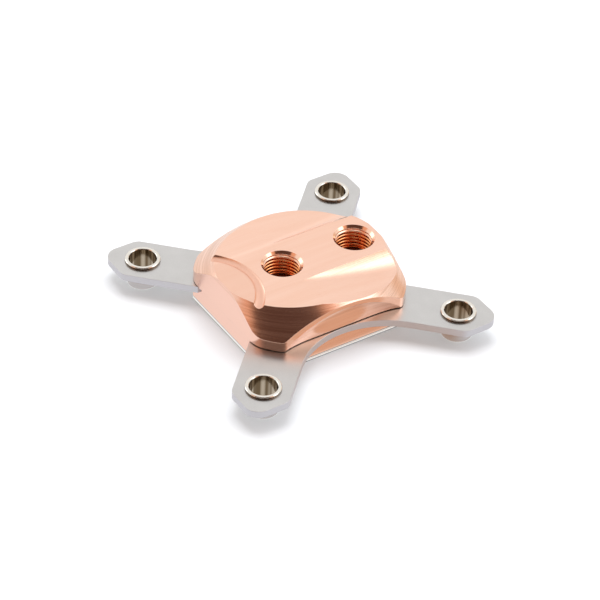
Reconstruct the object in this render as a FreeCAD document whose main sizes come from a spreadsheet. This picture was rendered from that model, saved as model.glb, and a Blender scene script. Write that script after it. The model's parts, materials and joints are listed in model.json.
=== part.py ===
import FreeCAD, Part
import os
import Sketcher

# Liquid cooling cold plate for a processor: a milled copper block with two threaded ports,
# a finned cold plate screwed under it, and two slotted-in steel brackets with four bushings.
# Origin at the centre of the contact face, +X along the line of the ports, +Z up, millimetres.

SIZES = {
    # cold plate: a thin finned sheet whose underside is the contact face
    "plate_length": 56.0,
    "plate_width": 50.4,
    "plate_thickness": 1.5,
    "plate_edge_radius": 0.9,
    "fin_field_length": 30.0,
    "fin_field_width": 24.0,
    "fin_height": 2.0,
    "fin_thickness": 0.5,
    "fin_pitch": 1.0,
    # block: outline, shoulder and conical flanks
    "block_length": 58.6,
    "block_width": 53.0,
    "block_height": 20.7,
    "corner_diameter": 70.0,
    "shoulder_height": 12.5,
    "flank_top_length": 59.3,
    "flank_top_width": 48.8,
    "end_edge_radius": 9.0,
    "side_edge_radius": 3.0,
    # block: flat band between the wings, and the wings that fall towards +X
    "band_width": 20.8,
    "band_step": 0.12,
    "wing_start": -7.0,
    "wing_drop": 4.6,
    "wing_fillet_radius": 11.5,
    # block: arched relief in each long side
    "arch_radius": 33.5,
    "arch_crown_height": 17.75,
    "arch_cove_width": 6.0,
    # block: circular groove round the -X end of the band
    "groove_radius": 19.3,
    "groove_centre": -38.3,
    "groove_section_radius": 2.1,
    "groove_depth": 0.5,
    "groove_tilt": 6.5,
    # block: bracket slots
    "lip_thickness": 4.8,
    "slot_headroom": 0.3,
    "web_width": 31.6,
    # ports: G1/4 parallel thread, wall drawn at the thread's major diameter
    "port_spacing": 28.0,
    "inlet_offset": -7.1,
    "port_bore": 13.157,
    "port_mouth": 13.9,
    "port_depth": 9.5,
    "inlet_drill": 8.0,
    "outlet_drill": 5.6,
    # flow chamber between block and cold plate
    "chamber_length": 35.0,
    "chamber_width": 28.0,
    "chamber_corner_radius": 3.0,
    "jet_plate_thickness": 0.8,
    "jet_plate_clearance": 0.2,
    "jet_slot_margin": 5.0,
    "jet_slot_width": 1.6,
    "return_slot_width": 2.4,
    "return_edge": 1.0,
    "plenum_margin": 2.0,
    "plenum_width": 7.0,
    "plenum_height": 1.6,
    # main seal in its groove
    "seal_length": 42.0,
    "seal_width": 36.4,
    "seal_section": 1.9,
    "seal_corner_radius": 6.0,
    "seal_groove_depth": 1.5,
    "seal_groove_clearance": 0.15,
    # brackets
    "mount_pitch": 75.0,
    "bracket_thickness": 2.5,
    "bracket_inner_gap": 32.0,
    "arm_width": 18.66,
    "tab_reach": 9.8,
    "tab_corner_radius": 5.0,
    "tab_shoulder_radius": 4.0,
    "bracket_waist": 25.5,
    # bushings
    "bushing_barrel": 10.2,
    "bushing_wall": 0.5,
    "bushing_flange_reach": 0.8,
    "bushing_flange_height": 0.9,
    "bushing_fit": 0.05,
    "bushing_floor_gap": 0.1,
    "bushing_chamfer": 0.25,
    # countersunk screws, M3
    "screw_diameter": 3.0,
    "screw_head_diameter": 5.5,
    "screw_recess": 0.1,
    "screw_hole_clearance": 0.2,
    "tapped_hole_clearance": 0.05,
    "screw_socket_width": 2.0,
    "screw_socket_depth": 0.8,
    "long_screw_length": 13.0,
    "short_screw_length": 4.6,
    "screw_tip_gap": 0.5,
    "long_screw_x": 22.6,
    "long_screw_y": 20.0,
    "end_screw_x": 24.6,
    "end_screw_y": 8.0,
    "side_screw_y": 21.8,
}

# Heights above the contact face and other sizes that follow from the driving ones.
BLOCK_BOTTOM = "Dims.plate_thickness"
SLOT_FLOOR = f"({BLOCK_BOTTOM} + Dims.lip_thickness)"
BRACKET_TOP = f"({SLOT_FLOOR} + Dims.bracket_thickness)"
SLOT_CEILING = f"({BRACKET_TOP} + Dims.slot_headroom)"
FIN_TOP = f"({BLOCK_BOTTOM} + Dims.fin_height)"
CHAMBER_CEILING = f"({FIN_TOP} + Dims.jet_plate_thickness)"
PORT_FLOOR = "(Dims.block_height - Dims.port_depth)"
ARCH_AXIS_HEIGHT = "(Dims.arch_crown_height - Dims.arch_radius)"
SIDE_INSET = "((Dims.block_width - Dims.plate_width) / 2)"
WING_END_DEPTH = "(Dims.band_step + Dims.wing_drop)"
OUTLET_X = "(Dims.inlet_offset + Dims.port_spacing)"
SCREW_HEAD_HEIGHT = "((Dims.screw_head_diameter - Dims.screw_diameter) / 2)"
JET_SLOT_LENGTH = "(Dims.fin_field_length - 2 * Dims.jet_slot_margin)"
RETURN_X = ("(Dims.chamber_length / 2 - Dims.jet_plate_clearance - Dims.return_edge"
            " - Dims.return_slot_width / 2)")
OUTLET_RISE = f"({PORT_FLOOR} - {CHAMBER_CEILING})"
OUTLET_TILT = f"atan(({OUTLET_X} - {RETURN_X}) / {OUTLET_RISE})"

OUTSIDE = 60.0  # half size of cutters that reach past the whole block

doc = FreeCAD.newDocument("ColdPlate")
sheet = doc.addObject("Spreadsheet::Sheet", "Dims")
for row, (alias, value) in enumerate(SIZES.items(), start=1):
    sheet.set(f"A{row}", str(value))
    sheet.setAlias(f"A{row}", alias)
doc.recompute()


def number(expression):
    """Value of an expression over the sheet."""
    return float(sheet.evalExpression(expression.replace("Dims.", "")))


def origin_feature(body, role):
    """One of the body's own origin planes or axes."""
    return next(feature for feature in body.Origin.OriginFeatures if feature.Role == role)


def new_body(name):
    return doc.addObject("PartDesign::Body", name)


def new_sketch(body, name, role="XY_Plane", offset=None):
    """Sketch on one of the body's own origin planes, raised along its normal by offset."""
    sketch = body.newObject("Sketcher::SketchObject", name)
    sketch.AttachmentSupport = [(origin_feature(body, role), "")]
    sketch.MapMode = "FlatFace"
    if offset:
        sketch.setExpression("AttachmentOffset.Base.z", offset)
    return sketch


def bind(sketch, kind, references, expression):
    """Dimension a sketch with an expression over the sheet."""
    index = sketch.addConstraint(Sketcher.Constraint(kind, *references, number(expression)))
    sketch.setExpression(f"Constraints[{index}]", expression)


def place_point(sketch, geometry, point, x, y):
    """Fix a sketch point: x and y are expressions, measured from the sketch's origin."""
    for kind, expression in (("DistanceX", x), ("DistanceY", y)):
        if number(expression) == 0:
            axis = -2 if kind == "DistanceX" else -1
            sketch.addConstraint(Sketcher.Constraint("PointOnObject", geometry, point, axis))
        else:
            bind(sketch, kind, (-1, 1, geometry, point), expression)


def add_polygon(sketch, corners):
    """Closed polygon through corners, each a pair of expressions."""
    points = [FreeCAD.Vector(number(x), number(y), 0) for x, y in corners]
    count = len(points)
    first = sketch.GeometryCount
    for i in range(count):
        sketch.addGeometry(Part.LineSegment(points[i], points[(i + 1) % count]), False)
    for i in range(count):
        following = first + (i + 1) % count
        sketch.addConstraint(Sketcher.Constraint("Coincident", first + i, 2, following, 1))
    for i, (x, y) in enumerate(corners):
        place_point(sketch, first + i, 1, x, y)


def add_rectangle(sketch, length, width, centre_x="0", centre_y="0"):
    left, right = f"{centre_x} - ({length}) / 2", f"{centre_x} + ({length}) / 2"
    low, high = f"{centre_y} - ({width}) / 2", f"{centre_y} + ({width}) / 2"
    add_polygon(sketch, [(left, low), (right, low), (right, high), (left, high)])


def add_circle(sketch, diameter, x="0", y="0"):
    centre = FreeCAD.Vector(number(x), number(y), 0)
    circle = Part.Circle(centre, FreeCAD.Vector(0, 0, 1), number(diameter) / 2)
    index = sketch.addGeometry(circle, False)
    place_point(sketch, index, 3, x, y)
    bind(sketch, "Radius", (index,), f"({diameter}) / 2")


def pad(body, sketch, name, length):
    feature = body.newObject("PartDesign::Pad", name)
    feature.Profile = sketch
    feature.setExpression("Length", length)
    return feature


def pocket_up(body, sketch, name, depth):
    """Pocket that removes material above its sketch."""
    feature = body.newObject("PartDesign::Pocket", name)
    feature.Profile = sketch
    feature.Reversed = True
    feature.setExpression("Length", depth)
    return feature


def pocket_through(body, sketch, name):
    feature = body.newObject("PartDesign::Pocket", name)
    feature.Profile = sketch
    feature.Type = "ThroughAll"
    feature.Midplane = True
    return feature


def mirrored(body, features, name, role):
    feature = body.newObject("PartDesign::Mirrored", name)
    feature.Originals = features
    feature.MirrorPlane = (origin_feature(body, role), [""])
    body.Tip = feature
    return feature


def upright_edges(shape, wanted):
    """Names of the straight edges along Z whose place in plan passes the test wanted(x, y)."""
    names = []
    for index, edge in enumerate(shape.Edges, start=1):
        if not isinstance(edge.Curve, (Part.Line, Part.LineSegment)):
            continue
        start, end = edge.Vertexes[0].Point, edge.Vertexes[-1].Point
        upright = abs(start.x - end.x) < 1e-6 and abs(start.y - end.y) < 1e-6
        if upright and wanted(start.x, start.y):
            names.append(f"Edge{index}")
    return names


def fillet(body, base, name, edges, radius):
    feature = body.newObject("PartDesign::Fillet", name)
    feature.Base = (base, edges)
    feature.setExpression("Radius", radius)
    body.Tip = feature
    return feature


def rounded_pocket_up(body, name, size, height, depth, radius):
    """Pocket with rounded corners above the given height, as an upright tool of its own."""
    sketch = new_sketch(body, f"{name}Sketch", offset=height)
    add_rounded_rectangle(sketch, size[0], size[1], radius)
    return pocket_up(body, sketch, name, depth)


def add_rounded_rectangle(sketch, length, width, radius, centre_x="0"):
    """Rectangle with four tangent corner arcs, centred on y = 0."""
    half_x, half_y, round_r = number(length) / 2, number(width) / 2, number(radius)
    middle = number(centre_x)
    first = sketch.GeometryCount
    vector = FreeCAD.Vector
    flat_x, flat_y = half_x - round_r, half_y - round_r
    sides = [
        ((-flat_x, -half_y), (flat_x, -half_y)),
        ((half_x, -flat_y), (half_x, flat_y)),
        ((flat_x, half_y), (-flat_x, half_y)),
        ((-half_x, flat_y), (-half_x, -flat_y)),
    ]
    turns = [(flat_x, -flat_y, 270), (flat_x, flat_y, 0), (-flat_x, flat_y, 90), (-flat_x, -flat_y, 180)]
    for (start, end), (corner_x, corner_y, angle) in zip(sides, turns):
        line = Part.LineSegment(
            vector(middle + start[0], start[1], 0), vector(middle + end[0], end[1], 0)
        )
        sketch.addGeometry(line, False)
        circle = Part.Circle(vector(middle + corner_x, corner_y, 0), vector(0, 0, 1), round_r)
        arc = Part.ArcOfCircle(circle, RADIANS * angle, RADIANS * (angle + 90))
        sketch.addGeometry(arc, False)
    for i in range(0, 8, 2):
        line, arc, following = first + i, first + i + 1, first + (i + 2) % 8
        sketch.addConstraint(Sketcher.Constraint("Tangent", line, 2, arc, 1))
        sketch.addConstraint(Sketcher.Constraint("Tangent", arc, 2, following, 1))
        if i:
            sketch.addConstraint(Sketcher.Constraint("Equal", first + 1, arc))
    for line in (first, first + 4):
        sketch.addConstraint(Sketcher.Constraint("Horizontal", line))
    sketch.addConstraint(Sketcher.Constraint("Vertical", first + 2))
    bind(sketch, "Radius", (first + 1,), radius)
    bind(sketch, "DistanceX", (-1, 1, first + 2, 1), f"{centre_x} + ({length}) / 2")
    bind(sketch, "DistanceX", (-1, 1, first + 6, 1), f"{centre_x} - ({length}) / 2")
    bind(sketch, "DistanceY", (-1, 1, first, 1), f"-({width}) / 2")
    bind(sketch, "DistanceY", (-1, 1, first + 4, 1), f"({width}) / 2")


RADIANS = 3.141592653589793 / 180


def screw_places():
    """Name, x, y and length of each screw, as expressions."""
    places = []
    for end, along in (("left", "-"), ("right", "")):
        for side, across in (("front", "-"), ("rear", "")):
            places.append((f"{side}_{end}_clamp_screw", f"{along}Dims.long_screw_x",
                           f"{across}Dims.long_screw_y", "Dims.long_screw_length"))
            places.append((f"{side}_{end}_plate_screw", f"{along}Dims.end_screw_x",
                           f"{across}Dims.end_screw_y", "Dims.short_screw_length"))
    for side, across in (("front", "-"), ("rear", "")):
        places.append((f"{side}_middle_plate_screw", "0", f"{across}Dims.side_screw_y",
                       "Dims.short_screw_length"))
    return places


def add_screw_holes(sketch, diameter, chosen):
    for name, x, y, _ in screw_places():
        if chosen(name):
            add_circle(sketch, diameter, x, y)


def make_block_outline():
    """Prism of the block's plan: a rectangle whose corners lie on a circle, its edges eased."""
    body = new_body("BlockOutline")
    rectangle = new_sketch(body, "OutlineRectangle")
    add_rectangle(rectangle, "Dims.block_length", "Dims.block_width")
    pad(body, rectangle, "OutlinePad", "Dims.block_height * 2")
    ring = new_sketch(body, "OutlineRing")
    add_circle(ring, f"{2 * OUTSIDE}")
    add_circle(ring, "Dims.corner_diameter")
    trim = pocket_through(body, ring, "OutlineTrim")
    doc.recompute()
    end_face = number("Dims.block_length / 2") - 1e-4
    side_face = number("Dims.block_width / 2") - 1e-4
    ends = upright_edges(trim.Shape, lambda x, y: abs(x) > end_face)
    eased = fillet(body, trim, "EndEdges", ends, "Dims.end_edge_radius")
    doc.recompute()
    sides = upright_edges(
        eased.Shape, lambda x, y: abs(y) > side_face and abs(x) > number("Dims.block_length / 4")
    )
    fillet(body, eased, "SideEdges", sides, "Dims.side_edge_radius")
    return body


def make_top_housing():
    """Milled block: conical flanks, sloping wings, arched sides, slots, ports and flow chamber."""
    outline = make_block_outline()
    body = new_body("TopHousing")
    body.Label = "top_housing"

    # Turned blank: a cylinder that narrows above the shoulder to an oval top.
    foot = new_sketch(body, "BlankFoot", offset=BLOCK_BOTTOM)
    add_circle(foot, "Dims.corner_diameter")
    pad(body, foot, "Blank", f"Dims.shoulder_height - {BLOCK_BOTTOM}")
    shoulder = new_sketch(body, "FlankFoot", offset="Dims.shoulder_height")
    add_circle(shoulder, "Dims.corner_diameter")
    top = new_sketch(body, "FlankTop", offset="Dims.block_height")
    add_oval(top, "Dims.flank_top_length", "Dims.flank_top_width")
    flank = body.newObject("PartDesign::AdditiveLoft", "Flank")
    flank.Profile = shoulder
    flank.Sections = [top]
    flank.Ruled = True
    common = body.newObject("PartDesign::Boolean", "PlanCut")
    common.setObjects([outline])
    common.Type = "Common"

    cut_sides(body)
    cut_wings(body)
    cut_arches(body)
    cut_ring_groove(body)
    cut_chamber(body)
    cut_ports(body)
    return body


def add_oval(sketch, length, width):
    """Ellipse about the origin with its long axis on X."""
    major, minor = number(length) / 2, number(width) / 2
    vector = FreeCAD.Vector
    index = sketch.addGeometry(
        Part.Ellipse(vector(major, 0, 0), vector(0, minor, 0), vector(0, 0, 0)), False
    )
    sketch.exposeInternalGeometry(index)
    sketch.addConstraint(Sketcher.Constraint("Coincident", index, 3, -1, 1))
    long_axis, short_axis = index + 1, index + 2
    sketch.addConstraint(Sketcher.Constraint("Horizontal", long_axis))
    bind(sketch, "Distance", (long_axis,), length)
    bind(sketch, "Distance", (short_axis,), width)


def cut_sides(body):
    """Step all four sides in below the slots, and mill the slots that take the brackets."""
    for name, role, inner, low, high in (
        ("SideSkirt", "YZ_Plane", "Dims.plate_width / 2", "0", SLOT_CEILING),
        ("EndSkirt", "XZ_Plane", "Dims.plate_length / 2", "0", SLOT_CEILING),
        ("Slot", "YZ_Plane", "Dims.web_width / 2", SLOT_FLOOR, SLOT_CEILING),
    ):
        sketch = new_sketch(body, f"{name}Section", role=role)
        for side in ("-", ""):
            corners = [(f"{side}({inner})", low), (f"{side}{OUTSIDE}", low),
                       (f"{side}{OUTSIDE}", high), (f"{side}({inner})", high)]
            add_polygon(sketch, corners)
        pocket_through(body, sketch, f"{name}Cut")


def wing_section(body, name, x, depth):
    """Section across one wing at x: a hollow corner rising to the band's edge, and the floor."""
    sketch = new_sketch(body, name, role="YZ_Plane", offset=x)
    edge, radius = number("Dims.band_width / 2"), number("Dims.wing_fillet_radius")
    top, deep = number("Dims.block_height"), number(depth)
    floor = top - deep
    reach = (2 * radius * deep - deep ** 2) ** 0.5
    vector = FreeCAD.Vector
    outer, above = OUTSIDE, OUTSIDE / 2
    corners = [vector(edge, top, 0), vector(edge + reach, floor, 0), vector(outer, floor, 0),
               vector(outer, above, 0), vector(edge, above, 0)]
    centre = vector(edge + reach, floor + radius, 0)
    circle = Part.Circle(centre, vector(0, 0, 1), radius)
    rise = (corners[0] - centre).getAngle(vector(0, -1, 0))
    sketch.addGeometry(Part.ArcOfCircle(circle, RADIANS * 270 - rise, RADIANS * 270), False)
    for start, end in zip(corners[1:], corners[2:] + corners[:1]):
        sketch.addGeometry(Part.LineSegment(start, end), False)
    sketch.addConstraint(Sketcher.Constraint("Tangent", 0, 2, 1, 1))
    for line in (1, 2, 3, 4):
        sketch.addConstraint(Sketcher.Constraint("Coincident", line, 2, (line + 1) % 5, 1))
    sketch.addConstraint(Sketcher.Constraint("Horizontal", 1))
    sketch.addConstraint(Sketcher.Constraint("Vertical", 2))
    sketch.addConstraint(Sketcher.Constraint("Horizontal", 3))
    sketch.addConstraint(Sketcher.Constraint("Vertical", 4))
    bind(sketch, "Radius", (0,), "Dims.wing_fillet_radius")
    bind(sketch, "DistanceX", (-1, 1, 4, 1), "Dims.band_width / 2")
    bind(sketch, "DistanceY", (-1, 1, 0, 1), "Dims.block_height")
    bind(sketch, "DistanceY", (-1, 1, 1, 1), f"Dims.block_height - {depth}")
    bind(sketch, "DistanceX", (-1, 1, 2, 1), f"{outer}")
    bind(sketch, "DistanceY", (-1, 1, 3, 1), f"{above}")
    return sketch


def cut_wings(body):
    """Mill both wings: level beside the -X half of the band, then falling evenly to +X."""
    level = wing_section(body, "WingLevel", "Dims.wing_start", "Dims.band_step")
    shelf = body.newObject("PartDesign::Pocket", "WingShelf")
    shelf.Profile = level
    shelf.Length = OUTSIDE
    start = wing_section(body, "WingSlopeStart", "Dims.wing_start", "Dims.band_step")
    end = wing_section(body, "WingSlopeEnd", "Dims.block_length / 2 + 1", WING_END_DEPTH)
    slope = body.newObject("PartDesign::SubtractiveLoft", "WingSlope")
    slope.Profile = start
    slope.Sections = [end]
    slope.Ruled = True
    doc.recompute()
    mirrored(body, [shelf, slope], "WingMirror", "XZ_Plane")


def cut_arches(body):
    """Sink an arched relief with a hollow rim into each long side, down to the skirt's face."""
    sketch = new_sketch(body, "ArchProfile", role="YZ_Plane")
    vector = FreeCAD.Vector
    face, inner = number("Dims.block_width / 2"), number("Dims.plate_width / 2")
    axis, radius = number(ARCH_AXIS_HEIGHT), number("Dims.arch_radius")
    width = number("Dims.arch_cove_width")
    cove = number(f"(Dims.arch_cove_width ^ 2 + {SIDE_INSET} ^ 2) / (2 * {SIDE_INSET})")
    foot = vector(-inner, axis + radius - width, 0)
    rim = vector(-face, axis + radius, 0)
    centre = vector(foot.x - cove, foot.y, 0)
    rim_angle = (rim - centre).getAngle(vector(1, 0, 0))
    circle = Part.Circle(centre, vector(0, 0, 1), cove)
    sketch.addGeometry(Part.ArcOfCircle(circle, 0, rim_angle), False)
    corners = [rim, vector(-OUTSIDE, rim.y, 0), vector(-OUTSIDE, axis, 0), vector(-inner, axis, 0), foot]
    for start, end in zip(corners[:-1], corners[1:]):
        sketch.addGeometry(Part.LineSegment(start, end), False)
    sketch.addConstraint(Sketcher.Constraint("Coincident", 0, 2, 1, 1))
    for line in (1, 2, 3):
        sketch.addConstraint(Sketcher.Constraint("Coincident", line, 2, line + 1, 1))
    sketch.addConstraint(Sketcher.Constraint("Tangent", 4, 2, 0, 1))
    sketch.addConstraint(Sketcher.Constraint("Horizontal", 1))
    sketch.addConstraint(Sketcher.Constraint("Vertical", 2))
    sketch.addConstraint(Sketcher.Constraint("Horizontal", 3))
    sketch.addConstraint(Sketcher.Constraint("Vertical", 4))
    bind(sketch, "DistanceX", (-1, 1, 1, 1), "-Dims.block_width / 2")
    bind(sketch, "DistanceY", (-1, 1, 1, 1), "Dims.arch_crown_height")
    bind(sketch, "DistanceX", (-1, 1, 2, 1), f"-{OUTSIDE}")
    bind(sketch, "DistanceY", (-1, 1, 3, 1), ARCH_AXIS_HEIGHT)
    bind(sketch, "DistanceX", (-1, 1, 4, 1), "-Dims.plate_width / 2")
    bind(sketch, "DistanceY", (-1, 1, 4, 2), "Dims.arch_crown_height - Dims.arch_cove_width")
    relief = body.newObject("PartDesign::Groove", "ArchRelief")
    relief.Profile = sketch
    relief.ReferenceAxis = (sketch, ["Edge4"])
    relief.Angle = 360
    doc.recompute()
    mirrored(body, [relief], "ArchMirror", "XZ_Plane")


def cut_ring_groove(body):
    """Round-bottomed circular groove across the -X end of the band, deeper towards its ends."""
    ring = body.newObject("PartDesign::SubtractiveTorus", "RingGroove")
    ring.AttachmentSupport = [(origin_feature(body, "XY_Plane"), "")]
    ring.MapMode = "FlatFace"
    ring.setExpression("Radius1", "Dims.groove_radius")
    ring.setExpression("Radius2", "Dims.groove_section_radius")
    lift = "(Dims.groove_section_radius - Dims.groove_depth)"
    ring.setExpression("AttachmentOffset.Base.x",
                       "Dims.groove_centre + Dims.groove_radius * (1 - cos(Dims.groove_tilt * 1 deg))")
    ring.setExpression("AttachmentOffset.Base.z",
                       f"Dims.block_height + {lift} - Dims.groove_radius * sin(Dims.groove_tilt * 1 deg)")
    ring.AttachmentOffset.Rotation.Axis = FreeCAD.Vector(0, 1, 0)
    ring.setExpression("AttachmentOffset.Rotation.Axis.x", "0")
    ring.setExpression("AttachmentOffset.Rotation.Axis.y", "1")
    ring.setExpression("AttachmentOffset.Rotation.Axis.z", "0")
    ring.setExpression("AttachmentOffset.Rotation.Angle", "-Dims.groove_tilt * 1 deg")


def cut_chamber(body):
    """Pockets of the underside: seal groove, flow chamber, plenum and screw holes."""
    groove = new_sketch(body, "SealGrooveSketch", offset=BLOCK_BOTTOM)
    extra = "2 * Dims.seal_groove_clearance"
    add_rounded_rectangle(groove, f"Dims.seal_length + {extra}", f"Dims.seal_width + {extra}",
                          "Dims.seal_corner_radius + Dims.seal_groove_clearance")
    inner = "2 * (Dims.seal_section + Dims.seal_groove_clearance)"
    add_rounded_rectangle(groove, f"Dims.seal_length - {inner}", f"Dims.seal_width - {inner}",
                          "Dims.seal_corner_radius - Dims.seal_section - Dims.seal_groove_clearance")
    pocket_up(body, groove, "SealGroove", "Dims.seal_groove_depth")
    rounded_pocket_up(body, "Chamber", ("Dims.chamber_length", "Dims.chamber_width"), BLOCK_BOTTOM,
                      f"{CHAMBER_CEILING} - {BLOCK_BOTTOM}", "Dims.chamber_corner_radius")
    plenum = new_sketch(body, "PlenumSketch", offset=CHAMBER_CEILING)
    add_rounded_rectangle(plenum, f"{JET_SLOT_LENGTH} + 2 * Dims.plenum_margin",
                          "Dims.plenum_width", "Dims.plenum_width / 2 - 0.5")
    pocket_up(body, plenum, "Plenum", "Dims.plenum_height")
    tapped = "Dims.screw_diameter + 2 * Dims.tapped_hole_clearance"
    for kind, length in (("clamp", "Dims.long_screw_length"), ("plate", "Dims.short_screw_length")):
        sketch = new_sketch(body, f"{kind.title()}Holes", offset=BLOCK_BOTTOM)
        add_screw_holes(sketch, tapped, lambda name: kind in name)
        depth = f"Dims.screw_recess + {length} + Dims.screw_tip_gap - {BLOCK_BOTTOM}"
        pocket_up(body, sketch, f"{kind.title()}HolePocket", depth)


def cut_ports(body):
    """Two threaded ports, the drilling under the inlet and the slanted one under the outlet."""
    bores = new_sketch(body, "PortBores", offset=PORT_FLOOR)
    for x in ("Dims.inlet_offset", OUTLET_X):
        add_circle(bores, "Dims.port_bore", x)
    pocket_up(body, bores, "PortBorePocket", "Dims.port_depth * 2")
    drill = new_sketch(body, "InletDrill", offset=CHAMBER_CEILING)
    add_circle(drill, "Dims.inlet_drill", "Dims.inlet_offset")
    pocket_up(body, drill, "InletDrillPocket", f"{PORT_FLOOR} - {CHAMBER_CEILING} + 1")
    for name, x in (("Inlet", "Dims.inlet_offset"), ("Outlet", OUTLET_X)):
        mouth = body.newObject("PartDesign::SubtractiveCone", f"{name}Mouth")
        mouth.AttachmentSupport = [(origin_feature(body, "XY_Plane"), "")]
        mouth.MapMode = "FlatFace"
        chamfer = "((Dims.port_mouth - Dims.port_bore) / 2)"
        mouth.setExpression("Radius1", "Dims.port_bore / 2")
        mouth.setExpression("Radius2", f"Dims.port_bore / 2 + 2 * {chamfer}")
        mouth.setExpression("Height", f"2 * {chamfer}")
        mouth.setExpression("AttachmentOffset.Base.x", x)
        mouth.setExpression("AttachmentOffset.Base.z", f"Dims.block_height - {chamfer}")
    outlet = body.newObject("PartDesign::SubtractiveCylinder", "OutletDrill")
    outlet.AttachmentSupport = [(origin_feature(body, "XY_Plane"), "")]
    outlet.MapMode = "FlatFace"
    outlet.setExpression("Radius", "Dims.outlet_drill / 2")
    outlet.setExpression("Height", f"{OUTLET_RISE} / cos({OUTLET_TILT}) + 1")
    outlet.setExpression("AttachmentOffset.Base.x", RETURN_X)
    outlet.setExpression("AttachmentOffset.Base.z", CHAMBER_CEILING)
    outlet.setExpression("AttachmentOffset.Rotation.Axis.x", "0")
    outlet.setExpression("AttachmentOffset.Rotation.Axis.y", "1")
    outlet.setExpression("AttachmentOffset.Rotation.Axis.z", "0")
    outlet.setExpression("AttachmentOffset.Rotation.Angle", OUTLET_TILT)


def make_cold_plate():
    """Finned cold plate with countersunk screw holes."""
    body = new_body("ColdPlateSheet")
    body.Label = "cold_plate"
    outline = new_sketch(body, "PlateOutline")
    add_rectangle(outline, "Dims.plate_length", "Dims.plate_width")
    pad(body, outline, "PlatePad", "Dims.plate_thickness")
    ring = new_sketch(body, "PlateRing")
    add_circle(ring, f"{2 * OUTSIDE}")
    add_circle(ring, "Dims.corner_diameter")
    trimmed = pocket_through(body, ring, "PlateTrim")
    doc.recompute()
    rim = [f"Edge{index}" for index, edge in enumerate(trimmed.Shape.Edges, start=1)
           if all(abs(corner.Z - number("Dims.plate_thickness")) < 1e-6 for corner in edge.Vertexes)]
    fillet(body, trimmed, "PlateEdge", rim, "Dims.plate_edge_radius")
    holes = new_sketch(body, "PlateHoles")
    clearance = "Dims.screw_diameter + 2 * Dims.screw_hole_clearance"
    add_screw_holes(holes, clearance, lambda name: True)
    drilled = pocket_through(body, holes, "PlateHolePocket")
    doc.recompute()
    rims = hole_rims(drilled.Shape, 0.0, number(clearance) / 2)
    countersink = body.newObject("PartDesign::Chamfer", "Countersinks")
    countersink.Base = (drilled, rims)
    countersink.setExpression("Size",
                              f"{SCREW_HEAD_HEIGHT} - Dims.screw_hole_clearance + Dims.screw_recess")
    body.Tip = countersink
    fin = new_sketch(body, "FinSketch", offset="Dims.plate_thickness")
    first = "-(Dims.fin_field_length - Dims.fin_thickness) / 2"
    add_rectangle(fin, "Dims.fin_thickness", "Dims.fin_field_width", centre_x=first)
    blade = pad(body, fin, "Fin", "Dims.fin_height")
    doc.recompute()
    fins = body.newObject("PartDesign::LinearPattern", "Fins")
    fins.Originals = [blade]
    fins.Direction = (origin_feature(body, "X_Axis"), [""])
    fins.setExpression("Occurrences",
                       "floor((Dims.fin_field_length - Dims.fin_thickness) / Dims.fin_pitch + 0.001) + 1")
    fins.setExpression("Length", "Dims.fin_field_length - Dims.fin_thickness")
    body.Tip = fins
    return body


def hole_rims(shape, height, radius):
    """Names of the circular edges of the given radius at one height."""
    names = []
    for index, edge in enumerate(shape.Edges, start=1):
        if isinstance(edge.Curve, Part.Circle) and abs(edge.Curve.Radius - radius) < 1e-6:
            if abs(edge.Curve.Center.z - height) < 1e-6:
                names.append(f"Edge{index}")
    return names


def make_jet_plate():
    """Thin insert over the fins: a jet slot along the middle and a return opening at each side."""
    body = new_body("JetPlate")
    body.Label = "jet_plate"
    sketch = new_sketch(body, "JetPlateSketch", offset=FIN_TOP)
    gap = "2 * Dims.jet_plate_clearance"
    add_rounded_rectangle(sketch, f"Dims.chamber_length - {gap}", f"Dims.chamber_width - {gap}",
                          "Dims.chamber_corner_radius - Dims.jet_plate_clearance")
    add_rectangle(sketch, JET_SLOT_LENGTH, "Dims.jet_slot_width")
    pad(body, sketch, "JetPlatePad", "Dims.jet_plate_thickness")
    opening = new_sketch(body, "ReturnOpening", offset=FIN_TOP)
    add_rectangle(opening, "Dims.return_slot_width", "Dims.fin_field_width", centre_x=RETURN_X)
    pocket_up(body, opening, "ReturnCut", "Dims.jet_plate_thickness * 2")
    return body


def make_main_seal():
    """Rubber ring squeezed flat between the groove's roof and the cold plate."""
    body = new_body("MainSeal")
    body.Label = "main_seal"
    sketch = new_sketch(body, "SealSketch", offset=BLOCK_BOTTOM)
    add_rounded_rectangle(sketch, "Dims.seal_length", "Dims.seal_width", "Dims.seal_corner_radius")
    add_rounded_rectangle(sketch, "Dims.seal_length - 2 * Dims.seal_section",
                          "Dims.seal_width - 2 * Dims.seal_section",
                          "Dims.seal_corner_radius - Dims.seal_section")
    ring = pad(body, sketch, "SealRing", "Dims.seal_groove_depth")
    doc.recompute()
    level = [f"Edge{i}" for i, edge in enumerate(ring.Shape.Edges, start=1)
             if abs(edge.BoundBox.ZLength) < 1e-6]
    fillet(body, ring, "SealRounding", level, "Dims.seal_groove_depth * 0.35")
    return body


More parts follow.
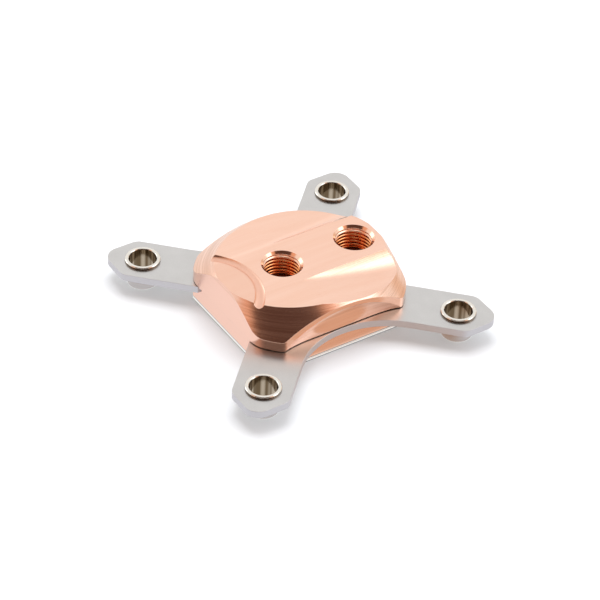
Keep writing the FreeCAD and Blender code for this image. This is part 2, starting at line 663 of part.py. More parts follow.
def make_bracket(name, angle):
    """Half bracket: two arms at 45 degrees joined by a strip that lies in the block's slot."""
    body = new_body(name.title().replace("_", ""))
    body.Label = name
    sketch = new_sketch(body, f"{body.Name}Outline", offset=SLOT_FLOOR)
    reach = "(Dims.mount_pitch / 2 + Dims.tab_reach)"
    cut = "(Dims.arm_width / sqrt(2))"
    inner = "(Dims.bracket_inner_gap / 2)"
    arc_centre = "((Dims.bracket_waist - Dims.arm_width / 2) / (1 - 1 / sqrt(2)))"
    arc_radius = f"({arc_centre} - {cut}) / sqrt(2)"
    radius = number(arc_radius)
    tangent = radius / 2 ** 0.5
    tip, notch, start = number(reach), number(cut), number(inner)
    centre_y = -number(arc_centre)
    right = [(start + notch, -start), (tip, notch - tip), (tip, -tip), (tip - notch, -tip),
             (tangent, centre_y + tangent)]
    vector = FreeCAD.Vector
    for (x0, y0), (x1, y1) in zip(right[:-1], right[1:]):
        sketch.addGeometry(Part.LineSegment(vector(x0, y0, 0), vector(x1, y1, 0)), False)
    circle = Part.Circle(vector(0, centre_y, 0), vector(0, 0, 1), radius)
    sketch.addGeometry(Part.ArcOfCircle(circle, RADIANS * 45, RADIANS * 135), False)
    left = [(-x, y) for x, y in reversed(right)]
    for (x0, y0), (x1, y1) in zip(left[:-1], left[1:]):
        sketch.addGeometry(Part.LineSegment(vector(x0, y0, 0), vector(x1, y1, 0)), False)
    sketch.addGeometry(Part.LineSegment(vector(*left[-1], 0), vector(*right[0], 0)), False)
    for line in (0, 1, 2, 5, 6, 7, 8):
        sketch.addConstraint(Sketcher.Constraint("Coincident", line, 2, (line + 1) % 10, 1))
    sketch.addConstraint(Sketcher.Constraint("Coincident", 9, 2, 0, 1))
    sketch.addConstraint(Sketcher.Constraint("Tangent", 3, 2, 4, 1))
    sketch.addConstraint(Sketcher.Constraint("Tangent", 4, 2, 5, 1))
    for geometry, x, y in (
        (0, f"{inner} + {cut}", f"-{inner}"),
        (1, reach, f"{cut} - {reach}"),
        (2, reach, f"-{reach}"),
        (3, f"{reach} - {cut}", f"-{reach}"),
        (6, f"{cut} - {reach}", f"-{reach}"),
        (7, f"-{reach}", f"-{reach}"),
        (8, f"-{reach}", f"{cut} - {reach}"),
        (9, f"-{inner} - {cut}", f"-{inner}"),
    ):
        place_point(sketch, geometry, 1, x, y)
    place_point(sketch, 4, 3, "0", f"-{arc_centre}")
    bind(sketch, "Radius", (4,), arc_radius)
    for side in ("-", ""):
        add_circle(sketch, "Dims.bushing_barrel + 2 * Dims.bushing_fit",
                   f"{side}Dims.mount_pitch / 2", "-Dims.mount_pitch / 2")
        add_circle(sketch, "Dims.screw_diameter + 2 * Dims.screw_hole_clearance",
                   f"{side}Dims.long_screw_x", "-Dims.long_screw_y")
    sheet_metal = pad(body, sketch, f"{body.Name}Pad", "Dims.bracket_thickness")
    doc.recompute()
    near = 1e-4
    corners = upright_edges(
        sheet_metal.Shape, lambda x, y: abs(abs(x) - tip) < near and abs(abs(y) - tip) < near
    )
    eased = fillet(body, sheet_metal, f"{body.Name}Corners", corners, "Dims.tab_corner_radius")
    doc.recompute()
    shoulders = upright_edges(
        eased.Shape,
        lambda x, y: abs(abs(x) + abs(y) - (2 * tip - notch)) < near and min(tip - abs(x), tip - abs(y)) < near,
    )
    fillet(body, eased, f"{body.Name}Shoulders", shoulders, "Dims.tab_shoulder_radius")
    body.Placement.Rotation = FreeCAD.Rotation(FreeCAD.Vector(0, 0, 1), angle)
    return body


def make_bushing(name, along, across):
    """Flanged sleeve that hangs in the bracket's hole and stops just above the contact plane."""
    body = new_body(name.title().replace("_", ""))
    body.Label = name
    sketch = new_sketch(body, f"{body.Name}Profile", role="XZ_Plane")
    barrel = "Dims.bushing_barrel / 2"
    bore, flange = f"{barrel} - Dims.bushing_wall", f"{barrel} + Dims.bushing_flange_reach"
    rim = f"{BRACKET_TOP} + Dims.bushing_flange_height"
    corners = [
        (bore, "Dims.bushing_floor_gap"),
        (f"{barrel} - Dims.bushing_chamfer", "Dims.bushing_floor_gap"),
        (barrel, "Dims.bushing_floor_gap + Dims.bushing_chamfer"),
        (barrel, BRACKET_TOP),
        (flange, BRACKET_TOP),
        (flange, f"{rim} - Dims.bushing_chamfer"),
        (f"{flange} - Dims.bushing_chamfer", rim),
        (f"{bore} + Dims.bushing_chamfer", rim),
        (bore, f"{rim} - Dims.bushing_chamfer"),
    ]
    add_polygon(sketch, corners)
    turned = body.newObject("PartDesign::Revolution", f"{body.Name}Turned")
    turned.Profile = sketch
    turned.ReferenceAxis = (sketch, ["V_Axis"])
    turned.Angle = 360
    body.setExpression("Placement.Base.x", f"{along}Dims.mount_pitch / 2")
    body.setExpression("Placement.Base.y", f"{across}Dims.mount_pitch / 2")
    return body


def make_screw(name, x, y, length):
    """Countersunk socket screw, head down in the cold plate."""
    body = new_body(name.title().replace("_", ""))
    body.Label = name
    sketch = new_sketch(body, f"{body.Name}Profile", role="XZ_Plane")
    shank, head = "Dims.screw_diameter / 2", "Dims.screw_head_diameter / 2"
    corners = [("0", "0"), (head, "0"), (shank, SCREW_HEAD_HEIGHT), (shank, length), ("0", length)]
    add_polygon(sketch, corners)
    turned = body.newObject("PartDesign::Revolution", f"{body.Name}Turned")
    turned.Profile = sketch
    turned.ReferenceAxis = (sketch, ["V_Axis"])
    turned.Angle = 360
    doc.recompute()
    socket = body.newObject("PartDesign::SubtractivePrism", f"{body.Name}Socket")
    socket.AttachmentSupport = [(origin_feature(body, "XY_Plane"), "")]
    socket.MapMode = "FlatFace"
    socket.Polygon = 6
    socket.setExpression("Circumradius", "Dims.screw_socket_width / sqrt(3)")
    socket.setExpression("Height", "Dims.screw_socket_depth")
    body.setExpression("Placement.Base.x", x)
    body.setExpression("Placement.Base.y", y)
    body.setExpression("Placement.Base.z", "Dims.screw_recess")
    return body


def main():
    parts = [
        make_top_housing(),
        make_cold_plate(),
        make_jet_plate(),
        make_main_seal(),
        make_bracket("front_bracket", 0),
        make_bracket("rear_bracket", 180),
    ]
    for side, across in (("front", "-"), ("rear", "")):
        for end, along in (("left", "-"), ("right", "")):
            parts.append(make_bushing(f"{side}_{end}_bushing", along, across))
    for name, x, y, length in screw_places():
        parts.append(make_screw(name, x, y, length))
    doc.recompute()

    for item in doc.Objects:
        if "Invalid" in item.State or "Error" in item.State:
            raise RuntimeError(f"{item.Name} did not compute: {item.State}")
    for part in parts:
        if part.Shape.isNull() or not part.Shape.isValid() or len(part.Shape.Solids) != 1:
            raise RuntimeError(f"{part.Label} is not one valid solid")

    os.makedirs("parts", exist_ok=True)
    for part in parts:
        part.Shape.exportStep(f"parts/{part.Label}.step")
        print(part.Label, round(part.Shape.Volume, 2))


main()
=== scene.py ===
import json
import math

import bpy
from mathutils import Matrix, Vector


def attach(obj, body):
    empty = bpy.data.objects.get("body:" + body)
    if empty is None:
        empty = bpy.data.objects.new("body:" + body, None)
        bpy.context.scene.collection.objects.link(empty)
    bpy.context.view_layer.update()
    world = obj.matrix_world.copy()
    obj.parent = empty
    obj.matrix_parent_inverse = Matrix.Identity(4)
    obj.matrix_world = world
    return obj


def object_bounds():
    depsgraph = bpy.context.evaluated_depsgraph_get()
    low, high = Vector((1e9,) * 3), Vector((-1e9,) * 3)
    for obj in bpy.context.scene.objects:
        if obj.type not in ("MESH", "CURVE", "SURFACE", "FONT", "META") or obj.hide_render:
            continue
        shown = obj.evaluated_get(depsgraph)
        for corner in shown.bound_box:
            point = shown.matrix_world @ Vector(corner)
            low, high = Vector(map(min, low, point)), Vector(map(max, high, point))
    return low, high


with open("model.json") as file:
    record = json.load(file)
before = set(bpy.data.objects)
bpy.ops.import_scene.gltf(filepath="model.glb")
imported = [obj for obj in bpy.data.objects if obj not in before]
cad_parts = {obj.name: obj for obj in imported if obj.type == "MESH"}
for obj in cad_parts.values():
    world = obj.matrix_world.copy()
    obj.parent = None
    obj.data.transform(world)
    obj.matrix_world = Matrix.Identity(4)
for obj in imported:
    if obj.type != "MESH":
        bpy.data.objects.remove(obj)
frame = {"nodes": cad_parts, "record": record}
cad_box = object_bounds()

# Liquid cooling cold plate: materials for the CAD nodes, a thread in each port, floor, light and
# camera. The materials work in millimetres of object space; colours are linear RGBA.
MM = 0.001
WHITE = (1.0, 1.0, 1.0, 1)

# Measures of the CAD model that materials and threads follow, in millimetres.
GROOVE_CENTRE = -38.3  # x of the round groove's axis
GROOVE_RADIUS = 19.3
BUSHING_PLACE = 37.5  # along x and along y from the origin
BORE_RADIUS = 4.6  # inside of a bushing
PORT_FLOOR = 11.2


def mm(*values):
    return Vector(values) * MM


# ---------------------------------------------------------------- node helpers


class Tree:
    """Small wrapper that adds nodes and joins them in one call."""

    def __init__(self, owner):
        owner.use_nodes = True
        self.nodes = owner.node_tree.nodes
        self.links = owner.node_tree.links
        self.nodes.clear()

    def add(self, kind, inputs=None, **settings):
        """New node; inputs maps a socket's name or index to a value or to another socket."""
        node = self.nodes.new(kind)
        for name, value in settings.items():
            setattr(node, name, value)
        for name, value in (inputs or {}).items():
            socket = node.inputs[name]
            if isinstance(value, bpy.types.NodeSocket):
                self.links.new(value, socket)
            else:
                socket.default_value = value
        return node

    def math(self, operation, *values):
        inputs = dict(enumerate(values))
        return self.add("ShaderNodeMath", inputs, operation=operation).outputs[0]

    def vmath(self, operation, *values, out=0):
        inputs = dict(enumerate(values))
        return self.add("ShaderNodeVectorMath", inputs, operation=operation).outputs[out]

    def times(self, first, second):
        return self.math("MULTIPLY", first, second)

    def absolute(self, value):
        return self.math("ABSOLUTE", value)

    def inverse(self, mask):
        return self.math("SUBTRACT", 1.0, mask)

    def rise(self, value, low, high):
        """Smooth rise from 0 at low to 1 at high."""
        inputs = {"Value": value, "From Min": low, "From Max": high}
        node = self.add("ShaderNodeMapRange", inputs, interpolation_type="SMOOTHSTEP")
        return node.outputs[0]

    def fall(self, value, low, high):
        """Smooth fall from 1 at low to 0 at high."""
        return self.inverse(self.rise(value, low, high))

    def scaled(self, value, low, high):
        """A value from 0 to 1 brought to the range from low to high."""
        inputs = {"Value": value, "To Min": low, "To Max": high}
        return self.add("ShaderNodeMapRange", inputs).outputs[0]

    def mix(self, factor, first, second):
        """From first to second as factor goes from 0 to 1; the colour sockets are 6 and 7."""
        inputs = {0: factor, 6: first, 7: second}
        return self.add("ShaderNodeMix", inputs, data_type="RGBA").outputs[2]

    def noise(self, vector, scale, detail=2.0, roughness=0.5):
        inputs = {"Vector": vector, "Scale": scale, "Detail": detail, "Roughness": roughness}
        return self.add("ShaderNodeTexNoise", inputs).outputs["Fac"]

    def grain(self, vector, density, detail=2.0, roughness=0.5):
        """Noise with its own density along x, y and z; a low one draws it out into lines."""
        return self.noise(self.stretch(vector, *density), 1.0, detail, roughness)

    def stretch(self, vector, x, y, z):
        return self.vmath("MULTIPLY", vector, (x, y, z))

    def split(self, vector):
        return self.add("ShaderNodeSeparateXYZ", {"Vector": vector}).outputs

    def normal(self):
        return self.add("ShaderNodeNewGeometry").outputs["Normal"]

    def from_axis(self, vector, x, y):
        """Distance from the upright line through (x, y)."""
        offset = self.vmath("SUBTRACT", vector, (x, y, 0))
        return self.vmath("LENGTH", self.stretch(offset, 1, 1, 0), out="Value")


def new_material(name):
    """A material, its empty tree, and the object's coordinates in millimetres."""
    material = bpy.data.materials.new(name)
    tree = Tree(material)
    place = tree.add("ShaderNodeTexCoord").outputs["Object"]
    return material, tree, tree.stretch(place, 1 / MM, 1 / MM, 1 / MM)


def metal(tree, color, roughness, relief=None, depth=0.01, strength=0.5, edge=0.2):
    """Metallic surface; depth, of its relief, and edge, the softening, are in millimetres."""
    normal = tree.add("ShaderNodeBevel", {"Radius": edge * MM}, samples=6).outputs[0]
    if relief is not None:
        normal = tree.add("ShaderNodeBump", {
            "Height": relief, "Strength": strength, "Distance": depth * MM,
            "Normal": normal}).outputs[0]
    shader = tree.add("ShaderNodeBsdfPrincipled", {
        "Base Color": color, "Roughness": roughness, "Metallic": 1.0, "Normal": normal})
    tree.add("ShaderNodeOutputMaterial", {"Surface": shader.outputs[0]})


# ------------------------------------------------------------------- materials

BRUSHED_DARK, BRUSHED_LIGHT = (0.93, 0.59, 0.445, 1), (0.965, 0.65, 0.515, 1)
TURNED_DARK, TURNED_LIGHT = (0.74, 0.44, 0.32, 1), (0.98, 0.66, 0.51, 1)
STAINED_COPPER = (0.91, 0.56, 0.425, 1)
END_REFLECTION_TONE = (0.95, 0.60, 0.50, 1)
GROOVE_SHADE_AND_DISC_COPPER = (0.85, 0.51, 0.38, 1)
TOP_HEIGHTS = 18.6, 19.4  # over these the masks of the block's top set in


def copper_material():
    """Bare copper: lengthwise brushing on the level faces, turning marks round the flanks."""
    material, tree, place = new_material("brushed_copper")
    normal = tree.split(tree.normal())
    level = tree.rise(normal[2], 0.86, 0.97)
    upright = tree.fall(tree.absolute(normal[2]), 0.05, 0.3)
    flank = tree.inverse(tree.math("MAXIMUM", level, upright))
    endward = tree.rise(tree.absolute(normal[0]), 0.7, 0.95)

    brushed_fine = tree.grain(place, (0.06, 4.0, 4.0), detail=3.0, roughness=0.6)
    brushed_broad = tree.grain(place, (0.02, 0.3, 0.3), detail=1.0)
    turned_fine = tree.grain(place, (0.03, 0.03, 5.0), detail=3.0, roughness=0.65)
    turned_broad = tree.grain(place, (0.02, 0.02, 1.1))
    fine = tree.mix(level, turned_fine, brushed_fine)
    broad = tree.mix(level, turned_broad, brushed_broad)
    marks = tree.math("MULTIPLY_ADD", broad, 0.5, tree.times(fine, 0.5))
    stain = tree.noise(place, scale=0.09, detail=3.0, roughness=0.6)

    brushed = tree.mix(tree.rise(marks, 0.3, 0.7), BRUSHED_DARK, BRUSHED_LIGHT)
    brushed = tree.mix(tree.scaled(stain, 0.0, 0.25), brushed, STAINED_COPPER)
    turned = tree.mix(tree.rise(marks, 0.36, 0.64), TURNED_DARK, TURNED_LIGHT)
    tone = tree.mix(tree.times(flank, 0.8), brushed, turned)
    # Faces along x get a pinker copper: a painted reflection tone, set by the face's direction.
    tone = tree.mix(tree.times(endward, 0.7), tone, END_REFLECTION_TONE)

    # The round groove and the disc inside it are a little darker, and the groove is rougher; in
    # the groove the darker tone is painted shade.
    from_centre = tree.from_axis(place, GROOVE_CENTRE, 0)
    off_groove = tree.absolute(tree.math("SUBTRACT", from_centre, GROOVE_RADIUS))
    topmost = tree.rise(tree.split(place)[2], *TOP_HEIGHTS)
    top_face = tree.times(topmost, tree.rise(normal[2], 0.72, 0.8))
    groove = tree.times(tree.fall(off_groove, 1.3, 2.0), top_face)
    disc = tree.times(tree.fall(from_centre, GROOVE_RADIUS - 1.8, GROOVE_RADIUS - 1.2), topmost)
    groove_shade_and_disc = tree.math("MULTIPLY_ADD", groove, 0.6, tree.times(disc, 0.45))
    tone = tree.mix(groove_shade_and_disc, tone, GROOVE_SHADE_AND_DISC_COPPER)

    roughness = tree.math("MULTIPLY_ADD", level, 0.09, tree.scaled(marks, 0.16, 0.24))
    roughness = tree.math("MULTIPLY_ADD", groove, 0.2, roughness)
    relief = tree.times(fine, tree.scaled(level, 0.8, 0.22))
    metal(tree, tone, roughness, relief, depth=0.015)
    return material


DEEP_REFLECTION_DARK, DEEP_REFLECTION_LIGHT = (0.89, 0.33, 0.11, 1), (0.95, 0.42, 0.18, 1)
MOUTH_DARK, MOUTH_LIGHT = (0.93, 0.56, 0.40, 1), (0.97, 0.64, 0.48, 1)
PORT_SHADE = (0.05, 0.018, 0.008, 1)
SHADE_HEIGHTS = 11.4, 12.4  # over these the painted shade at the bottom of a port ends
MOUTH_HEIGHTS = 17.2, 19.4  # over these the painted reflection deep in the port pales to the copper of the mouth


def thread_material():
    """Freshly cut copper: painted shade at the port's bottom, saturated painted reflection above
    it, paler at the mouth.
    """
    material, tree, place = new_material("cut_copper")
    grain = tree.grain(place, (0.4, 0.4, 6.0))
    # Deep in the port the saturated copper is a painted reflection of copper on copper.
    deep_reflection = tree.mix(grain, DEEP_REFLECTION_DARK, DEEP_REFLECTION_LIGHT)
    mouth = tree.mix(grain, MOUTH_DARK, MOUTH_LIGHT)
    height = tree.split(place)[2]
    tone = tree.mix(tree.rise(height, *MOUTH_HEIGHTS), deep_reflection, mouth)
    # Painted shade: the bottom of each port is near black.
    tone = tree.mix(tree.rise(height, *SHADE_HEIGHTS), PORT_SHADE, tone)
    metal(tree, tone, tree.scaled(grain, 0.1, 0.16), edge=0.1)
    return material


SATIN_DARK, SATIN_LIGHT = (0.575, 0.56, 0.545, 1), (0.66, 0.645, 0.63, 1)
CUT_STEEL = (0.67, 0.665, 0.70, 1)


def bracket_material():
    """Satin stainless sheet with a fine even grain and rougher cut edges."""
    material, tree, place = new_material("satin_steel")
    speck = tree.noise(place, scale=3.2, detail=4.0, roughness=0.7)
    cloud = tree.noise(place, scale=0.12)
    blend = tree.math("MULTIPLY_ADD", cloud, 0.35, tree.times(speck, 0.65))
    cut = tree.fall(tree.absolute(tree.split(tree.normal())[2]), 0.3, 0.6)
    tone = tree.mix(tree.rise(blend, 0.3, 0.7), SATIN_DARK, SATIN_LIGHT)
    tone = tree.mix(cut, tone, CUT_STEEL)
    roughness = tree.math("MULTIPLY_ADD", cut, 0.35, tree.scaled(blend, 0.25, 0.37))
    metal(tree, tone, roughness, speck, depth=0.008, strength=0.3)
    return material


NICKEL_DARK, NICKEL_LIGHT = (0.78, 0.735, 0.66, 1), (0.86, 0.82, 0.755, 1)
BORE_SHADE_DARK, BORE_SHADE_LIGHT = (0.15, 0.105, 0.06, 1), (0.56, 0.48, 0.38, 1)
BARREL_SHADE = (0.5, 0.47, 0.47, 1)
RIM_SHADE = (0.16, 0.12, 0.085, 1)
BARREL_TOP = 6.0, 6.6  # heights over which the barrel goes into its bracket
RIM_FOOT = 8.7, 8.9  # heights over which the flange's side starts


def nickel_material():
    """Bright nickel flange over a bore darkened by painted shade, with marks along the bore;
    painted shade also darkens the barrel and the flange's side.
    """
    material, tree, place = new_material("bright_nickel")
    normal = tree.normal()
    from_centre = tree.from_axis(tree.vmath("ABSOLUTE", place), BUSHING_PLACE, BUSHING_PLACE)
    bored = tree.fall(from_centre, BORE_RADIUS + 0.03, BORE_RADIUS + 0.08)
    marks = tree.grain(normal, (2.4, 2.4, 0.3), detail=1.0)
    rings = tree.grain(place, (0.15, 0.15, 6.0))
    # The inside of the bore is painted shade, streaked by the marks along the bore.
    bore_shade_and_marks = tree.mix(tree.rise(marks, 0.4, 0.68), BORE_SHADE_DARK, BORE_SHADE_LIGHT)
    bright = tree.mix(rings, NICKEL_DARK, NICKEL_LIGHT)
    height = tree.split(place)[2]
    side = tree.fall(tree.absolute(tree.split(normal)[2]), 0.2, 0.6)
    # Painted shade: the barrel below the bracket is a darker grey.
    bright = tree.mix(tree.times(side, tree.fall(height, *BARREL_TOP)), bright, BARREL_SHADE)
    bright = tree.mix(tree.times(side, tree.rise(height, *RIM_FOOT)), bright, RIM_SHADE)
    tone = tree.mix(bored, bright, bore_shade_and_marks)
    metal(tree, tone, tree.scaled(rings, 0.08, 0.18), rings, depth=0.006)
    return material


GROUND_DARK, GROUND_LIGHT = (0.66, 0.63, 0.60, 1), (0.80, 0.775, 0.745, 1)
EDGE_SHADE = (0.09, 0.07, 0.06, 1)
EDGE_HIGHLIGHT = (0.9, 0.885, 0.86, 1)
LINE_FOOT = 0.15, 0.4  # heights over which the painted highlight on the plate's edge starts
LINE_TOP = 1.0, 1.2  # and over which it ends


def plated_material():
    """Nickel plated cold plate, ground flat; its edge is a painted highlight line between two
    bands of painted shade.
    """
    material, tree, place = new_material("ground_nickel")
    grind = tree.grain(place, (0.08, 4.0, 4.0), detail=3.0, roughness=0.6)
    height = tree.split(place)[2]
    side = tree.fall(tree.absolute(tree.split(tree.normal())[2]), 0.93, 0.98)
    highlight_band = tree.times(tree.rise(height, *LINE_FOOT), tree.fall(height, *LINE_TOP))
    tone = tree.mix(grind, GROUND_DARK, GROUND_LIGHT)
    # Painted shade: the plate's side is near black below and above the highlight line.
    tone = tree.mix(tree.times(side, tree.inverse(highlight_band)), tone, EDGE_SHADE)
    # Painted highlight: a bright line along the plate's edge.
    tone = tree.mix(tree.times(side, highlight_band), tone, EDGE_HIGHLIGHT)
    metal(tree, tone, tree.scaled(grind, 0.14, 0.3), grind)
    return material


SCREW_DARK, SCREW_LIGHT = (0.32, 0.32, 0.33, 1), (0.5, 0.5, 0.5, 1)
INSERT_DARK, INSERT_LIGHT = (0.45, 0.45, 0.45, 1), (0.6, 0.6, 0.59, 1)
RUBBER_DARK, RUBBER_LIGHT = (0.012, 0.012, 0.012, 1), (0.03, 0.03, 0.03, 1)


def screw_material():
    """Plain steel with a mottled surface."""
    material, tree, place = new_material("screw_steel")
    grain = tree.noise(place, scale=1.5, detail=3.0, roughness=0.6)
    tone = tree.mix(grain, SCREW_DARK, SCREW_LIGHT)
    metal(tree, tone, tree.scaled(grain, 0.22, 0.4), grain)
    return material


def insert_material():
    """Rolled sheet of the insert, with its grain along x."""
    material, tree, place = new_material("insert_sheet")
    grain = tree.grain(place, (0.2, 3.0, 1.0), detail=3.0, roughness=0.6)
    tone = tree.mix(grain, INSERT_DARK, INSERT_LIGHT)
    metal(tree, tone, tree.scaled(grain, 0.25, 0.4), grain)
    return material


def rubber_material():
    """Matt black rubber of the seal."""
    material, tree, place = new_material("seal_rubber")
    grain = tree.noise(place, scale=2.0, detail=4.0, roughness=0.6)
    tone = tree.mix(grain, RUBBER_DARK, RUBBER_LIGHT)
    bump = tree.add("ShaderNodeBump", {"Height": grain, "Strength": 0.3, "Distance": 0.02 * MM})
    shader = tree.add("ShaderNodeBsdfPrincipled", {
        "Base Color": tone, "Roughness": tree.scaled(grain, 0.5, 0.7), "Normal": bump.outputs[0]})
    tree.add("ShaderNodeOutputMaterial", {"Surface": shader.outputs[0]})
    return material


FINISHES = {
    "copper_body": copper_material(),
    "plated_base": plated_material(),
    "insert_steel": insert_material(),
    "seal_rubber": rubber_material(),
    "bracket_steel": bracket_material(),
    "bushing_nickel": nickel_material(),
    "screw_steel": screw_material(),
}

for part in frame["record"]["subparts"]:
    node = frame["nodes"][part["node"]]
    node.data.materials.clear()
    node.data.materials.append(FINISHES[part["material_slot"]])


# --------------------------------------------------------------- port threads

# G1/4 thread in millimetres, drawn just inside the plain bore of the CAD model.
PITCH = 1.337
THREAD_DEPTH = 0.8
FLAT_SHARE = 0.12  # of the way from root to crest that each of them keeps flat
ROUNDING = 0.35  # share of the flank's shape that is rounded instead of straight
WALL_GAP = 0.012  # between the thread's major radius and the bore
ROOT_GAP = 0.004  # by which a root stays inside the major radius
FLOOR_GAP = 0.02
MOUTH_CHAMFER = 0.37  # height and width of the chamfer at the port's mouth
CONE_DEPTH = 0.85  # height of the smooth conical mouth
UNDERCUT = 2.5  # widening for each unit of depth below the cone, until it meets the thread
AROUND = 120
ROWS_PER_PITCH = 16


def thread_radius(turns, major, minor):
    """Radius of the thread's wall; turns counts pitches along the helix."""
    rise = 1.0 - abs(2.0 * (turns % 1.0) - 1.0)
    flank = min(max((rise - FLAT_SHARE) / (1 - 2 * FLAT_SHARE), 0.0), 1.0)
    rounded = flank * flank * (3 - 2 * flank)
    return major + (minor - major) * (ROUNDING * rounded + (1 - ROUNDING) * flank)


def port_thread(name, centre, top, bottom, major, mouth):
    """Clean conical mouth over a right-handed helical thread, as one wall open at both ends."""
    height = top - bottom
    rows = int(height / PITCH * ROWS_PER_PITCH)
    verts, faces = [], []
    for row in range(rows + 1):
        z = top - height * row / rows
        depth = top - z
        cone = mouth - depth
        opening = mouth - CONE_DEPTH + (depth - CONE_DEPTH) * UNDERCUT
        runout = min(1.0, (z - bottom) / PITCH)
        for step in range(AROUND):
            radius = cone
            if depth > CONE_DEPTH:
                turns = (z - bottom) / PITCH - step / AROUND
                wall = thread_radius(turns, major, major - THREAD_DEPTH)
                wall = major - (major - wall) * runout
                radius = min(max(wall, cone), opening, major - ROOT_GAP)
            angle = 2 * math.pi * step / AROUND
            x = centre[0] + radius * math.cos(angle)
            y = centre[1] + radius * math.sin(angle)
            verts.append(mm(x, y, z))
    for row in range(rows):
        for step in range(AROUND):
            a, b = row * AROUND + step, row * AROUND + (step + 1) % AROUND
            faces.append((a, b, b + AROUND, a + AROUND))
    mesh = bpy.data.meshes.new(name)
    mesh.from_pydata(verts, [], faces)
    mesh.update()
    for polygon in mesh.polygons:
        polygon.use_smooth = True
    mesh.materials.append(CUT_COPPER)
    piece = bpy.data.objects.new(name, mesh)
    bpy.context.scene.collection.objects.link(piece)
    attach(piece, "root")


CUT_COPPER = thread_material()
for mount in frame["record"]["mounts"]:
    if mount["kind"] == "threaded_hole":
        x, y, _ = (value / MM for value in mount["pos_m"])
        length, radius = mount["dims"]["length_mm"], mount["dims"]["r_mm"]
        port_thread(mount["name"] + "_thread", (x, y), PORT_FLOOR + length + MOUTH_CHAMFER,
                    PORT_FLOOR + FLOOR_GAP, radius - WALL_GAP, radius + MOUTH_CHAMFER - WALL_GAP)


# ------------------------------------------------------------ floor and lights

# Directions in the world, and the colours of what stands there.
VIEWER_SIDE = (-0.393, -0.541, 0.743)
WALL_SIDE = (0.98, 0.2, 0.0)
DRAPES = (0.85, 0.5, 0.34, 1)
ROOM = (0.095, 0.052, 0.04, 1)
WALL = (0.84, 0.68, 0.55, 1)
CEILING = (1.1, 1.1, 1.1, 1)

# Soft round lamps of the studio: aim, outer and inner half angle in degrees, colour.
LAMPS = (
    ((-0.456, 0.838, 0.294), 18.0, 9.0, (2.2, 2.2, 2.2, 1)),  # window behind at the left
    ((0.44, 0.81, 0.38), 13.0, 5.0, (1.2, 1.2, 1.2, 1)),  # low, straight behind
    ((0.61, -0.08, 0.78), 20.0, 5.0, (1.6, 1.6, 1.6, 1)),  # these three high at the right
    ((0.62, -0.28, 0.73), 22.0, 6.0, (2.3, 2.35, 2.5, 1)),
    ((0.613, -0.546, 0.572), 14.0, 6.0, (2.4, 2.4, 2.4, 1)),
)


def world_light():
    """White studio: warm drapes and a dark room on the viewer's side, a warm wall behind at the
    right, a brighter ceiling, and the lamps."""
    world = bpy.data.worlds.new("studio")
    bpy.context.scene.world = world
    tree = Tree(world)
    direction = tree.add("ShaderNodeTexCoord").outputs["Generated"]
    height = tree.split(direction)[2]  # sine of the elevation

    def facing(aim, outer, inner):
        """Soft disc of directions round aim, given by two half angles in degrees."""
        aim = tuple(Vector(aim).normalized())
        cosine = tree.vmath("DOT_PRODUCT", direction, aim, out="Value")
        return tree.rise(cosine, math.cos(math.radians(outer)), math.cos(math.radians(inner)))

    drapes = tree.times(facing(VIEWER_SIDE, 60.0, 50.0), tree.rise(height, 0.34, 0.48))
    room = tree.times(facing(VIEWER_SIDE, 39.0, 30.0), tree.rise(height, 0.4, 0.53))
    bearing = tree.vmath("NORMALIZE", tree.stretch(direction, 1, 1, 0))
    wallward = tree.vmath("DOT_PRODUCT", bearing, WALL_SIDE, out="Value")
    low_band = tree.times(tree.rise(height, -0.16, -0.04), tree.fall(height, 0.18, 0.3))
    wall = tree.times(tree.rise(wallward, 0.72, 0.9), low_band)

    color = tree.mix(drapes, WHITE, DRAPES)
    color = tree.mix(room, color, ROOM)
    color = tree.mix(wall, color, WALL)
    color = tree.mix(tree.rise(height, 0.93, 0.99), color, CEILING)
    for aim, outer, inner, glow in LAMPS:
        color = tree.mix(facing(aim, outer, inner), color, glow)
    shader = tree.add("ShaderNodeBackground", {"Color": color, "Strength": 1.0})
    tree.add("ShaderNodeOutputWorld", {"Surface": shader.outputs[0]})


# The floor's measures are in metres, as its own coordinates are.
FLOOR_HALF = 3.0
FLOOR_DROP = 0.00002  # below the object, so that no faces coincide
PATCH_CENTRE = (0.008, -0.036, 0.0)
PATCH_RADII = 0.02, 0.034
PATCH_BACK = -0.028, -0.0262  # y over which the patch ends in front of the block
MIRRORED_SHADOW_GLOW = (0.66, 0.46, 0.34, 1)
MIRRORED_GLOW = (0.92, 0.92, 0.92, 1)
MIRRORED_SHADE = (0.06, 0.06, 0.06, 1)
FLOOR_SHADE = (0.65, 0.68, 0.71, 1)
FLOOR_GLOW = (0.25, 0.255, 0.26, 1)


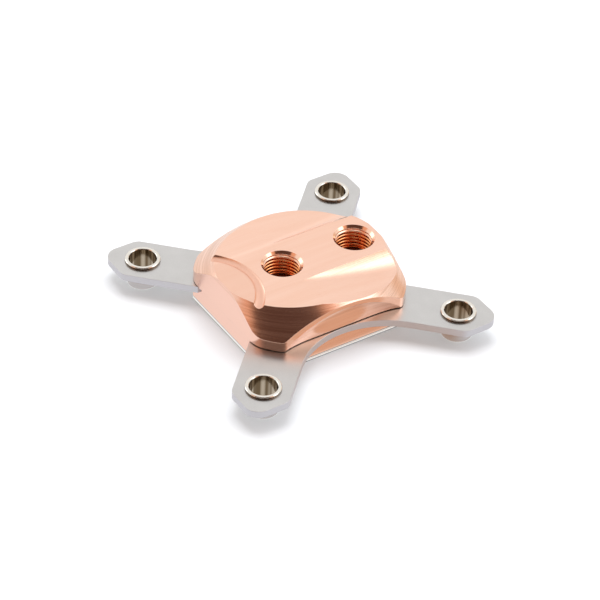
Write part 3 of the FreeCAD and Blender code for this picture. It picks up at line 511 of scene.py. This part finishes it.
def floor():
    """White floor that keeps the object's shadow. Metal mirrors it as a bright plane with a warm
    painted shadow in front of the block."""
    mesh = bpy.data.meshes.new("floor")
    corners = [(-1, -1), (1, -1), (1, 1), (-1, 1)]
    mesh.from_pydata([(x * FLOOR_HALF, y * FLOOR_HALF, 0) for x, y in corners], [], [(0, 1, 2, 3)])
    ground = bpy.data.objects.new("floor", mesh)
    bpy.context.scene.collection.objects.link(ground)
    ground.location.z = cad_box[0].z - FLOOR_DROP
    material = bpy.data.materials.new("floor_white")
    tree = Tree(material)
    glossy = tree.add("ShaderNodeLightPath").outputs["Is Glossy Ray"]
    place = tree.add("ShaderNodeTexCoord").outputs["Object"]
    from_patch = tree.vmath("DISTANCE", place, PATCH_CENTRE, out="Value")
    behind = tree.rise(tree.split(place)[1], *PATCH_BACK)
    clear = tree.math("MAXIMUM", behind, tree.rise(from_patch, *PATCH_RADII))
    # Painted shadow: only in reflections, the floor in front of the block is a dimmer, warm patch.
    mirrored = tree.mix(clear, MIRRORED_SHADOW_GLOW, MIRRORED_GLOW)
    shade = tree.mix(glossy, FLOOR_SHADE, MIRRORED_SHADE)
    diffuse = tree.add("ShaderNodeBsdfDiffuse", {"Color": shade})
    glow = tree.add("ShaderNodeEmission", {"Color": tree.mix(glossy, FLOOR_GLOW, mirrored)})
    both = tree.add("ShaderNodeAddShader", {0: diffuse.outputs[0], 1: glow.outputs[0]})
    tree.add("ShaderNodeOutputMaterial", {"Surface": both.outputs[0]})
    mesh.materials.append(material)


# Soft box over the object, in metres and watts, aimed at the origin.
BOX_PLACE = (0.05, 0.15, 0.75)
BOX_SIZE = 0.5
BOX_POWER = 4.0


def overhead_box():
    """Lamp that gives the soft shadow and stays out of the reflections."""
    data = bpy.data.lights.new("overhead_box", "AREA")
    data.shape = "SQUARE"
    data.size = BOX_SIZE
    data.energy = BOX_POWER
    light = bpy.data.objects.new("overhead_box", data)
    bpy.context.scene.collection.objects.link(light)
    light.location = BOX_PLACE
    light.rotation_mode = "QUATERNION"
    light.rotation_quaternion = (-Vector(BOX_PLACE)).to_track_quat("-Z", "Y")
    light.visible_glossy = False


world_light()
floor()
overhead_box()


# ---------------------------------------------------------------------- camera

CAMERA_ANGLES = -34.597, 38.817, 2.851  # azimuth, elevation and roll in degrees
CAMERA_TARGET = mm(-4.531, -7.445, 9.7)
CAMERA_DISTANCE = 860.849 * MM
SENSOR_WIDTH = 36.0
FOCAL_SHARE = 2645.341 / 600  # focal length in widths of the picture


def make_camera():
    azimuth, elevation, roll = (math.radians(angle) for angle in CAMERA_ANGLES)
    back = Vector((math.sin(azimuth) * math.cos(elevation),
                   -math.cos(azimuth) * math.cos(elevation), math.sin(elevation)))
    right = Vector((math.cos(azimuth), math.sin(azimuth), 0))
    up = back.cross(right)
    tilted_right = right * math.cos(roll) + up * math.sin(roll)
    tilted_up = up * math.cos(roll) - right * math.sin(roll)
    data = bpy.data.cameras.new("camera")
    data.sensor_width = SENSOR_WIDTH
    data.lens = SENSOR_WIDTH * FOCAL_SHARE
    data.clip_start, data.clip_end = 0.05, 20.0
    camera = bpy.data.objects.new("camera", data)
    bpy.context.scene.collection.objects.link(camera)
    basis = Matrix((tilted_right, tilted_up, back)).transposed().to_4x4()
    camera.matrix_world = Matrix.Translation(CAMERA_TARGET + back * CAMERA_DISTANCE) @ basis
    bpy.context.scene.camera = camera


make_camera()
bpy.context.scene.view_settings.view_transform = "Standard"
bpy.context.view_layer.update()
